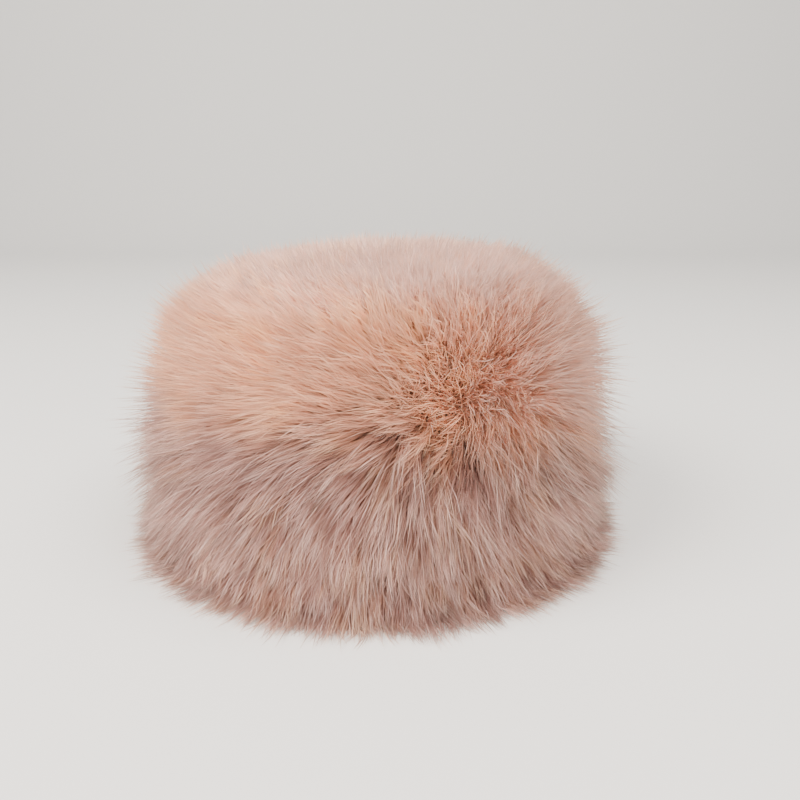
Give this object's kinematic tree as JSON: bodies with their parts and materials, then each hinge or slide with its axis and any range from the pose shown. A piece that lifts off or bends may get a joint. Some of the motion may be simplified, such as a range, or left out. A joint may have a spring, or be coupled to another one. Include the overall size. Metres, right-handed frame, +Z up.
{
  "type": "faux fur bucket hat",
  "caption": "Soft bucket hat of deep pile faux fur with a round flat crown and a short steep brim that it stands on, hollow for the head.",
  "frame": {"origin": "on the surface the hat stands on, under the middle of its bounding box, pile included", "axes": "+Z up through the crown, -Y towards the hat's front, +X to the viewer's right"},
  "size_m": [0.2914, 0.299, 0.1712],
  "materials": {
    "crown_top_pile": "long soft pile, pale dusty pink",
    "crown_side_pile": "long soft pile, dusty pink with frosted tips",
    "brim_pile": "long soft pile, dusty pink with frosted tips"
  },
  "bodies": {
    "root": {"crown_top": "crown_top_pile", "crown_side": "crown_side_pile", "brim": "brim_pile"}
  },
  "joints": []
}
